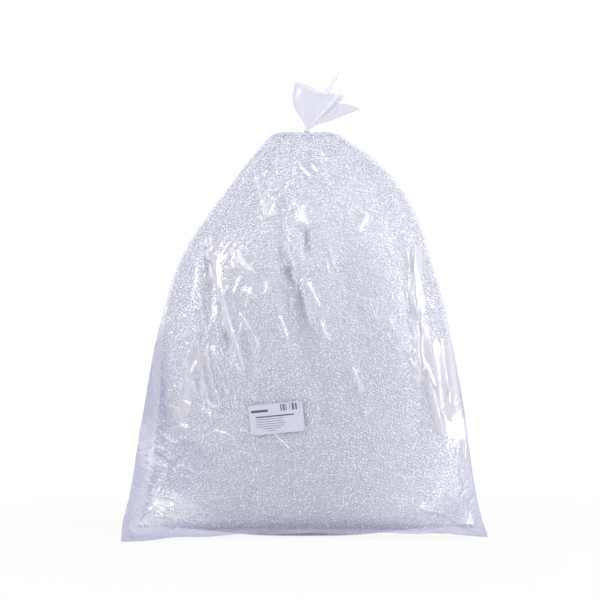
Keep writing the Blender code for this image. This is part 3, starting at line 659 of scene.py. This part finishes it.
def label_material(settings):
    """Coated label paper, offset printed: a smooth lavender white sheet with grey bars and a block of
    upright stripes, and the soft unevenness of its fibres. Fibres are drawn 1.5 mm long to show."""
    material, tree = new_material("coated_label_paper")
    place = add_node(tree, "ShaderNodeTexCoord").outputs["Object"]
    on_label = add_node(tree, "ShaderNodeMapping", vector_type="TEXTURE", links=[("Vector", place)],
                        in_Location=tuple(LABEL_CENTRE), in_Rotation=(0, -LABEL_TURN, 0))
    flat = on_label.outputs["Vector"]
    group = bar_group()
    ink = None
    for bar in LABEL_BARS:
        amount = add_node(tree, "ShaderNodeGroup", node_tree=group, links=[("Place", flat)],
                          in_Centre=(bar.x * MM, 0, bar.z * MM),
                          in_Half_Size=(bar.width / 2 * MM, 1, bar.height / 2 * MM)).outputs[0]
        if bar.striped:
            across = add_node(tree, "ShaderNodeSeparateXYZ", links=[(0, flat)]).outputs["X"]
            step = add_node(tree, "ShaderNodeMath", operation="DIVIDE", links=[(0, across)],
                            in_1=STRIPE_WIDTH)
            whole = add_node(tree, "ShaderNodeMath", operation="FLOOR", links=[(0, step.outputs[0])])
            chance = add_node(tree, "ShaderNodeTexWhiteNoise", noise_dimensions="1D",
                              links=[("W", whole.outputs[0])])
            stripe = add_node(tree, "ShaderNodeMath", operation="GREATER_THAN",
                              links=[(0, chance.outputs["Value"])], in_1=STRIPE_GAPS)
            amount = add_node(tree, "ShaderNodeMath", operation="MULTIPLY",
                              links=[(0, amount), (1, stripe.outputs[0])]).outputs[0]
        shade = add_node(tree, "ShaderNodeMath", operation="MULTIPLY", links=[(0, amount)],
                         in_1=bar.darkness).outputs[0]
        ink = shade if ink is None else add_node(tree, "ShaderNodeMath", operation="MAXIMUM",
                                                 links=[(0, ink), (1, shade)]).outputs[0]
    fibres = add_node(tree, "ShaderNodeTexNoise", links=[("Vector", place)], in_Scale=1 / (1.5 * MM),
                      in_Detail=4.0)
    paper = add_node(tree, "ShaderNodeMix", data_type="RGBA", links=[(0, fibres.outputs["Fac"])],
                     in_6=settings.paper, in_7=settings.fibres)
    colour = add_node(tree, "ShaderNodeMix", data_type="RGBA", links=[(0, ink), (6, paper.outputs[2])],
                      in_7=settings.ink)
    relief = add_node(tree, "ShaderNodeBump", links=[("Height", fibres.outputs["Fac"])], in_Strength=0.2,
                      in_Distance=0.05 * MM)
    shader = add_node(tree, "ShaderNodeBsdfPrincipled", in_Roughness=0.45,
                      links=[("Base Color", colour.outputs[2]), ("Normal", relief.outputs["Normal"])])
    finish_material(tree, shader.outputs[0])
    return material


def bead_tree(material):
    """Geometry Nodes that lay beads on a surface, inside a box of the row frame."""
    tree = bpy.data.node_groups.new("beads_on_surface", "GeometryNodeTree")
    for name, kind, way in (
        ("Geometry", "NodeSocketGeometry", "INPUT"), ("Diameter", "NodeSocketFloat", "INPUT"),
        ("Spacing", "NodeSocketFloat", "INPUT"), ("Variation", "NodeSocketFloat", "INPUT"),
        ("Seed", "NodeSocketInt", "INPUT"), ("Low Corner", "NodeSocketVector", "INPUT"),
        ("High Corner", "NodeSocketVector", "INPUT"), ("Geometry", "NodeSocketGeometry", "OUTPUT"),
    ):
        tree.interface.new_socket(name, in_out=way, socket_type=kind)
    given = add_node(tree, "NodeGroupInput").outputs
    points = add_node(tree, "GeometryNodeDistributePointsOnFaces", distribute_method="POISSON",
                      links=[("Mesh", given["Geometry"]), ("Distance Min", given["Spacing"]),
                             ("Seed", given["Seed"])],
                      in_Density_Max=BEADS_TRIED)
    place = add_node(tree, "GeometryNodeInputPosition").outputs[0]
    above = add_node(tree, "FunctionNodeCompare", data_type="VECTOR", operation="GREATER_EQUAL",
                     mode="ELEMENT", links=[("A", place), ("B", given["Low Corner"])])
    below = add_node(tree, "FunctionNodeCompare", data_type="VECTOR", operation="LESS_THAN",
                     mode="ELEMENT", links=[("A", place), ("B", given["High Corner"])])
    inside = add_node(tree, "FunctionNodeBooleanMath", operation="NAND",
                      links=[(0, above.outputs[0]), (1, below.outputs[0])])
    kept = add_node(tree, "GeometryNodeDeleteGeometry", domain="POINT",
                    links=[("Geometry", points.outputs["Points"]), ("Selection", inside.outputs[0])])
    ball = add_node(tree, "GeometryNodeMeshIcoSphere", in_Radius=0.5, in_Subdivisions=1)
    round_ball = add_node(tree, "GeometryNodeSetShadeSmooth", links=[("Geometry", ball.outputs[0])])
    least = add_node(tree, "ShaderNodeMath", operation="SUBTRACT", links=[(1, given["Variation"])], in_0=1.0)
    share = add_node(tree, "FunctionNodeRandomValue", data_type="FLOAT", in_Max=1.0,
                     links=[("Min", least.outputs[0]), ("Seed", given["Seed"])])
    scale = add_node(tree, "ShaderNodeMath", operation="MULTIPLY",
                     links=[(0, share.outputs[1]), (1, given["Diameter"])])
    turn = add_node(tree, "FunctionNodeRandomValue", data_type="FLOAT_VECTOR", in_Max=(6.28, 6.28, 6.28),
                    links=[("Seed", given["Seed"])])
    beads = add_node(tree, "GeometryNodeInstanceOnPoints",
                     links=[("Points", kept.outputs[0]), ("Instance", round_ball.outputs[0]),
                            ("Rotation", turn.outputs[0]), ("Scale", scale.outputs[0])])
    tone = add_node(tree, "FunctionNodeRandomValue", data_type="FLOAT", links=[("Seed", given["Seed"])])
    toned = add_node(tree, "GeometryNodeStoreNamedAttribute", data_type="FLOAT", domain="INSTANCE",
                     links=[("Geometry", beads.outputs[0]), ("Value", tone.outputs[1])], in_Name="tone")
    real = add_node(tree, "GeometryNodeRealizeInstances", links=[("Geometry", toned.outputs[0])])
    done = add_node(tree, "GeometryNodeSetMaterial", links=[("Geometry", real.outputs[0])],
                    in_Material=material)
    add_node(tree, "NodeGroupOutput", links=[(0, done.outputs[0])])
    return tree


def to_mesh(shape, name):
    mesh = bpy.data.meshes.new(name)
    shape.to_mesh(mesh)
    shape.free()
    mesh.shade_smooth()
    return mesh


def made_real(item, name):
    """The evaluated object as a plain mesh of its own."""
    mesh = bpy.data.meshes.new_from_object(item.evaluated_get(bpy.context.evaluated_depsgraph_get()))
    mesh.name = name
    return mesh


def subdivided(shape, name, levels):
    """A shape as a smooth mesh, cut finer by Subdivision Surface."""
    item = link_object(name, to_mesh(shape, name))
    finer = item.modifiers.new("finer", "SUBSURF")
    finer.levels = finer.render_levels = levels
    finer.boundary_smooth = "PRESERVE_CORNERS"
    mesh = made_real(item, name)
    bpy.data.objects.remove(item)
    return mesh


def set_material(mesh, material):
    """Gives a mesh one material in place of any that it has."""
    mesh.materials.clear()
    mesh.materials.append(material)


def vertex_values(mesh, name):
    values = np.empty(len(mesh.vertices) * 3)
    if name == "normal":
        mesh.vertex_normals.foreach_get("vector", values)
    else:
        mesh.vertices.foreach_get(name, values)
    return values.reshape(-1, 3)


def face_values(mesh, name):
    values = np.empty(len(mesh.polygons) * 3)
    mesh.polygons.foreach_get(name, values)
    return values.reshape(-1, 3)


def move_along_normals(mesh, heights):
    moved = vertex_values(mesh, "co") + vertex_values(mesh, "normal") * heights[:, None]
    mesh.vertices.foreach_set("co", moved.ravel())
    mesh.update()


def facing_share(normals, side):
    """One where the surface faces the front (side -1) or the back (side 1), easing to none at its edge."""
    return ease((side * normals[:, 1] - FACING_FROM) / FACING_OVER)


def fold_heights(places, normals):
    """The folds that film and beads share. The back has like ones."""
    above_foot = ease((places[:, 2] - HEM_HEIGHT) / HEM_HEIGHT)
    front = facing_share(normals, -1) * crease_heights(places[:, ::2], FRONT_FOLDS)
    back = facing_share(normals, 1) * crease_heights(places[:, ::2] + BACK_SHIFT, FRONT_FOLDS)
    return above_foot * (front + back)


def tension_direction(x, z):
    """Which way the film's small crinkles run on a face: fanning from the neck, and slanting near the
    foot. The two are mixed as doubled angles, because a line has no front end."""
    fan = math.atan2(z - NECK.z, x - NECK.x)
    slant = SLANT_LEFT if x < 0 else SLANT_RIGHT
    low = float(ease((FAN_END - z) / SLANT_OVER))
    doubled = (1 - low) * np.array([math.cos(2 * fan), math.sin(2 * fan)])
    doubled += low * np.array([math.cos(2 * slant), math.sin(2 * slant)])
    angle = math.atan2(doubled[1], doubled[0]) / 2
    return math.cos(angle), math.sin(angle)


def random_crinkles(rng, count):
    """Small crinkles of a face, more of them away from its full middle."""
    crinkles = []
    while len(crinkles) < count:
        x = rng.uniform(FILM_LOW.x, FILM_HIGH.x)
        z = rng.uniform(CRINKLE_MARGIN, NECK.z - CRINKLE_MARGIN)
        taut = math.exp(-(((x - TAUT_X) / TAUT_WIDTH) ** 2) - (((z - TAUT_Z) / TAUT_HEIGHT) ** 2))
        if rng.random() < TAUT_SHARE * taut:
            continue
        across, up = tension_direction(x, z)
        half = rng.uniform(*CRINKLE_HALF)
        bow = rng.uniform(-CRINKLE_BOW, CRINKLE_BOW) * half
        points = [
            (x / MM + along * half * across - off * up, z / MM + along * half * up + off * across)
            for along, off in ((-1, 0), (0, bow), (1, 0))
        ]
        sizes = [rng.uniform(*span) for span in (CRINKLE_RISE, CRINKLE_LEFT, CRINKLE_RIGHT)]
        crinkles.append(Crease(*sizes, points))
    return crinkles


def set_attribute(mesh, name, values):
    mesh.attributes.new(name, "FLOAT", "POINT").data.foreach_set("value", values)


def finer_near(mesh, creases, reach):
    """Cuts the faces that lie within reach of a crease of their side in four."""
    shape = bmesh.new()
    shape.from_mesh(mesh)
    shape.normal_update()
    places = np.array([face.calc_center_median() for face in shape.faces])
    turned = np.array([face.normal.y for face in shape.faces])
    wanted = np.zeros(len(places), bool)
    for side, lines in creases.items():
        shift = BACK_SHIFT if side > 0 else 0
        picked = np.flatnonzero((side * turned > FACING_FROM) & (places[:, 2] < NECK.z))
        wanted[picked] |= close_to(places[picked][:, ::2] + shift, lines, reach)
    shape.edges.ensure_lookup_table()
    shape.faces.ensure_lookup_table()
    edges = list({edge for index in np.flatnonzero(wanted) for edge in shape.faces[index].edges})
    bmesh.ops.subdivide_edges(shape, edges=edges, cuts=1, use_grid_fill=True)
    shape.to_mesh(mesh)
    shape.free()


def raise_film(mesh, settings):
    """Puts the folds, creases and crinkles into the film, and notes how it lies for its material, with
    painted highlights in its haze and painted shade in its tint for empty film.
    """
    rng = np.random.default_rng(settings.seed)
    every = {
        side: random_crinkles(rng, settings.crinkle_count) + list(FRONT_CREASES) for side in (-1, 1)
    }
    finer_near(mesh, every, FINE_REACH)
    finer_near(mesh, {-1: FRONT_CREASES}, FINEST_REACH)
    mesh.shade_smooth()

    places, normals = vertex_values(mesh, "co"), vertex_values(mesh, "normal")
    body = places[:, 2] < NECK.z - NECK_MARGIN
    beads = BVHTree.FromBMesh(merged_copy("bead_fill"))
    gap = np.array([beads.find_nearest(Vector(place))[3] for place in places])
    gathered = ease((places[:, 2] - NECK.z + GATHERS_LENGTH) / GATHERS_OVER)
    empty = ease((gap - EMPTY_FROM) / EMPTY_OVER) * (1 - GATHERS_FILLED * gathered)
    crinkled, highlight_veil, slack_and_shade = np.zeros(len(places)), np.zeros(len(places)), np.zeros(len(places))
    for side, shift in ((-1, 0), (1, BACK_SHIFT)):
        on_side = body * facing_share(normals, side)
        seen = places[:, ::2] + shift
        crinkled += on_side * crease_heights(seen, every[side], settings.narrowness) * settings.creases
        highlight_veil += on_side * crease_heights(seen, FRONT_HIGHLIGHT_VEILS) * settings.highlight_veils
        slack_and_shade += on_side * crease_heights(seen, FRONT_SLACK_SHADE)
    crinkled *= 1 - EMPTY_SMOOTH * empty
    move_along_normals(mesh, crinkled + body * fold_heights(places, normals) * settings.folds)

    loose_and_highlit = ease(crinkled / LOOSE_HEIGHT) ** LOOSE_POWER
    beside = body & (gap > BESIDE_GAP) & (places[:, 2] < NECK.z - GATHERS_LENGTH)
    at_edge = np.exp(-((distance_to(places, beside) / EDGE_WIDTH) ** 2))
    # Crease crests and the highlight veils raise the haze, partly as painted highlights
    haze = settings.haze_on_beads + loose_and_highlit * (settings.haze_loose_and_highlight - settings.haze_on_beads) + highlight_veil
    haze = np.minimum(haze + settings.haze_edge * at_edge, MOST_HAZE)
    # A strong highlight veil takes the empty film's darker tint away, as painted light, and the slack list
    # adds it as painted shade
    hidden = VEIL_HIDES * ease((highlight_veil - VEIL_FROM) / VEIL_OVER)
    empty = np.maximum.reduce((empty, EDGE_EMPTY * at_edge, slack_and_shade)) * (1 - hidden)
    haze += empty * (settings.haze_empty - haze)
    lifted = np.maximum(ease(crinkled / LIFTED_HEIGHT), ease(highlight_veil / LIFTED_VEIL))
    set_attribute(mesh, "haze", np.where(body, haze, settings.haze_ruff))
    set_attribute(mesh, "empty", np.where(body, empty, RUFF_EMPTY))
    set_attribute(mesh, "on_beads", body * (1 - empty) * (1 - LIFTED_SHARE * lifted))


def distance_to(places, wanted):
    """How far each place is from the nearest of the wanted ones."""
    found = np.flatnonzero(wanted)
    tree = KDTree(len(found))
    for index in found:
        tree.insert(places[index], index)
    tree.balance()
    return np.array([tree.find(place)[2] for place in places])


def split_off(mesh, name, wanted):
    """A mesh of the wanted faces alone, shaded as the whole one is."""
    normals = vertex_values(mesh, "normal")
    shape = bmesh.new()
    shape.from_mesh(mesh)
    shape.faces.ensure_lookup_table()
    spare = [shape.faces[index] for index in np.flatnonzero(~wanted)]
    kept = np.zeros(len(mesh.vertices), bool)
    for index in np.flatnonzero(wanted):
        for vertex in shape.faces[index].verts:
            kept[vertex.index] = True
    bmesh.ops.delete(shape, geom=spare, context="FACES")
    part = to_mesh(shape, name)
    part.materials.append(mesh.materials[0])
    part.normals_split_custom_set_from_vertices(normals[kept])
    return part


def bead_surface(name, depth, levels):
    """The surface that beads lie on, in from the film by a depth."""
    shape = merged_copy("bead_fill")
    bmesh.ops.join_triangles(shape, faces=shape.faces, **QUAD_ANGLES)
    mesh = subdivided(shape, name, levels)
    heights = fold_heights(vertex_values(mesh, "co"), vertex_values(mesh, "normal"))
    move_along_normals(mesh, heights)
    move_along_normals(mesh, np.full(len(mesh.vertices), -depth))
    return mesh


class BEADBAG_OT_film(bpy.types.Operator):
    """Make the film, with its creases, crinkles and ruff"""

    bl_idname = "beadbag.film"
    bl_label = "Film"

    def execute(self, context):
        settings = context.scene.bead_film
        mesh = subdivided(outer_film(), "film_whole", FILM_LEVELS)
        raise_film(mesh, settings)
        set_material(mesh, film_material(settings))

        centres, normals = face_values(mesh, "center"), face_values(mesh, "normal")
        ruff = centres[:, 2] > NECK.z
        front = normals[:, 1] < 0
        for name, wanted in (
            ("film_front", ~ruff & front), ("film_back", ~ruff & ~front), ("film_ruff", ruff),
        ):
            piece = link_object(name, split_off(mesh, name, wanted))
            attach(piece, BODY)
            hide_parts("film_bag")
        return {"FINISHED"}


class BEADBAG_OT_beads(bpy.types.Operator):
    """Lay the beads inside the film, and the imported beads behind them"""

    bl_idname = "beadbag.beads"
    bl_label = "Beads"

    def execute(self, context):
        settings = context.scene.bead_beads
        core = link_object("beads_behind", bead_surface("beads_behind", PACKED_DEPTH, PACKED_LEVELS))
        set_material(core.data, core_material())
        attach(core, BODY)
        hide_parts("bead_fill")

        tree = bead_tree(bead_material(settings))
        sockets = {s.name: s.identifier for s in tree.interface.items_tree if s.in_out == "INPUT"}
        surface = bead_surface("bead_surface", settings.diameter / 2, BEAD_LEVELS)
        for name, low, high in (
            ("beads_front_left", (-FAR, -FAR, -FAR), (0.0, 0.0, FAR)),
            ("beads_front_right", (0.0, -FAR, -FAR), (FAR, 0.0, FAR)),
            ("beads_back_left", (-FAR, 0.0, -FAR), (0.0, FAR, FAR)),
            ("beads_back_right", (0.0, 0.0, -FAR), (FAR, FAR, FAR)),
        ):
            item = link_object(name, surface)
            nodes = item.modifiers.new("beads", "NODES")
            nodes.node_group = tree
            for key, value in (("Diameter", settings.diameter), ("Spacing", settings.spacing),
                               ("Variation", settings.variation), ("Seed", settings.seed),
                               ("Low Corner", low), ("High Corner", high)):
                nodes[sockets[key]] = value
            mesh = made_real(item, name)
            item.modifiers.clear()
            item.data = mesh
            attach(item, BODY)
        return {"FINISHED"}


class BEADBAG_OT_band(bpy.types.Operator):
    """Give the rubber band its finish"""

    bl_idname = "beadbag.band"
    bl_label = "Neck band"

    def execute(self, context):
        set_material(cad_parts["neck_band"].data, latex_material(context.scene.bead_trim))
        return {"FINISHED"}


class BEADBAG_OT_label(bpy.types.Operator):
    """Print the paper label with plain bars"""

    bl_idname = "beadbag.label"
    bl_label = "Label"

    def execute(self, context):
        set_material(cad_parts["label"].data, label_material(context.scene.bead_trim))
        return {"FINISHED"}


def background_rays(tree):
    """One for the rays that see the background: the camera's, and those that film and gloss send on."""
    path = add_node(tree, "ShaderNodeLightPath").outputs
    direct = add_node(tree, "ShaderNodeMath", operation="MAXIMUM",
                      links=[(0, path["Is Camera Ray"]), (1, path["Is Transmission Ray"])])
    return add_node(tree, "ShaderNodeMath", operation="MAXIMUM",
                    links=[(0, direct.outputs[0]), (1, path["Is Glossy Ray"])]).outputs[0]


def add_softbox(box, radiance):
    """An area lamp of a given radiance that faces the middle of the bag."""
    lamp = bpy.data.lights.new(box.name, "AREA")
    lamp.shape = "RECTANGLE"
    lamp.size, lamp.size_y = box.width, box.height
    lamp.energy = radiance * math.pi * box.width * box.height
    item = link_object(box.name, lamp)
    item.location = box.place
    item.rotation_mode = "QUATERNION"
    item.rotation_quaternion = (Vector(box.place) - BAG_CENTRE).to_track_quat("Z", "Y")


class BEADBAG_OT_stage(bpy.types.Operator):
    """Set up the floor, the lights and the camera"""

    bl_idname = "beadbag.stage"
    bl_label = "Stage"

    def execute(self, context):
        lights = context.scene.bead_lights
        scene = context.scene
        scene.view_settings.view_transform = "Standard"

        world = bpy.data.worlds.new("studio")
        scene.world = world
        world.use_nodes = True
        tree = world.node_tree
        tree.nodes.clear()
        seen = background_rays(tree)
        even = add_node(tree, "ShaderNodeBackground", in_Color=linear("#FBFBFF"), in_Strength=lights.fill)
        white = add_node(tree, "ShaderNodeBackground", in_Color=(1, 1, 1, 1), in_Strength=1.0)
        both = add_node(tree, "ShaderNodeMixShader", links=[(0, seen), (1, even.outputs[0]),
                                                            (2, white.outputs[0])])
        add_node(tree, "ShaderNodeOutputWorld", links=[("Surface", both.outputs[0])])

        mesh = bpy.data.meshes.new("floor")
        corners = [(x * FLOOR_REACH, y * FLOOR_REACH, 0) for x, y in ((-1, -1), (1, -1), (1, 1), (-1, 1))]
        mesh.from_pydata(corners, [], [(0, 1, 2, 3)])
        floor = link_object("floor", mesh)
        material, tree = new_material("white_studio_floor")
        board = add_node(tree, "ShaderNodeBsdfDiffuse", in_Color=linear("#E2E3E9"))
        glow = add_node(tree, "ShaderNodeEmission", in_Color=(1, 1, 1, 1), in_Strength=1.0)
        # The floor is white away from the bag, and keeps a little of the bag's shadow near it
        place = add_node(tree, "ShaderNodeTexCoord").outputs["Object"]
        away = add_node(tree, "ShaderNodeVectorMath", operation="LENGTH", links=[(0, place)])
        white = add_node(tree, "ShaderNodeMapRange", links=[("Value", away.outputs["Value"])],
                         interpolation_type="SMOOTHSTEP", in_From_Min=0.3, in_From_Max=0.9, in_To_Min=0.92,
                         in_To_Max=1.0)
        share = add_node(tree, "ShaderNodeMath", operation="MULTIPLY",
                         links=[(0, background_rays(tree)), (1, white.outputs["Result"])])
        mix = add_node(tree, "ShaderNodeMixShader", links=[(0, share.outputs[0]), (1, board.outputs[0]),
                                                           (2, glow.outputs[0])])
        finish_material(tree, mix.outputs[0])
        mesh.materials.append(material)

        for box in SOFTBOXES:
            add_softbox(box, getattr(lights, box.setting))

        camera = bpy.data.cameras.new("camera")
        camera.sensor_width = SENSOR_WIDTH
        camera.lens = SENSOR_WIDTH * CAMERA_DISTANCE / VIEW_WIDTH
        item = link_object("camera", camera)
        item.location = (VIEW_CENTRE_X, -CAMERA_DISTANCE, VIEW_CENTRE_Z)
        item.rotation_euler = (math.pi / 2, 0, 0)
        scene.camera = item
        return {"FINISHED"}


OPERATORS = (BEADBAG_OT_film, BEADBAG_OT_beads, BEADBAG_OT_band, BEADBAG_OT_label, BEADBAG_OT_stage)
GROUPS = {
    "bead_film": FilmSettings, "bead_beads": BeadSettings, "bead_trim": TrimSettings,
    "bead_lights": LightSettings,
}


class BEADBAG_PT_panel(bpy.types.Panel):
    """The bag's pieces, one button each"""

    bl_idname = "BEADBAG_PT_panel"
    bl_label = "Bead Bag"
    bl_space_type = "VIEW_3D"
    bl_region_type = "UI"
    bl_category = "Bead Bag"

    def draw(self, context):
        for operator in OPERATORS:
            self.layout.operator(operator.bl_idname)
        for place in GROUPS:
            group = getattr(context.scene, place)
            for name in group.__annotations__:
                self.layout.prop(group, name)


CLASSES = (*GROUPS.values(), *OPERATORS, BEADBAG_PT_panel)


def register():
    for item in CLASSES:
        bpy.utils.register_class(item)
    for place, group in GROUPS.items():
        setattr(bpy.types.Scene, place, PointerProperty(type=group))


def unregister():
    for place in GROUPS:
        delattr(bpy.types.Scene, place)
    for item in reversed(CLASSES):
        bpy.utils.unregister_class(item)


def main():
    register()
    bpy.ops.beadbag.film()
    bpy.ops.beadbag.beads()
    bpy.ops.beadbag.band()
    bpy.ops.beadbag.label()
    bpy.ops.beadbag.stage()


if __name__ == "__main__":
    main()
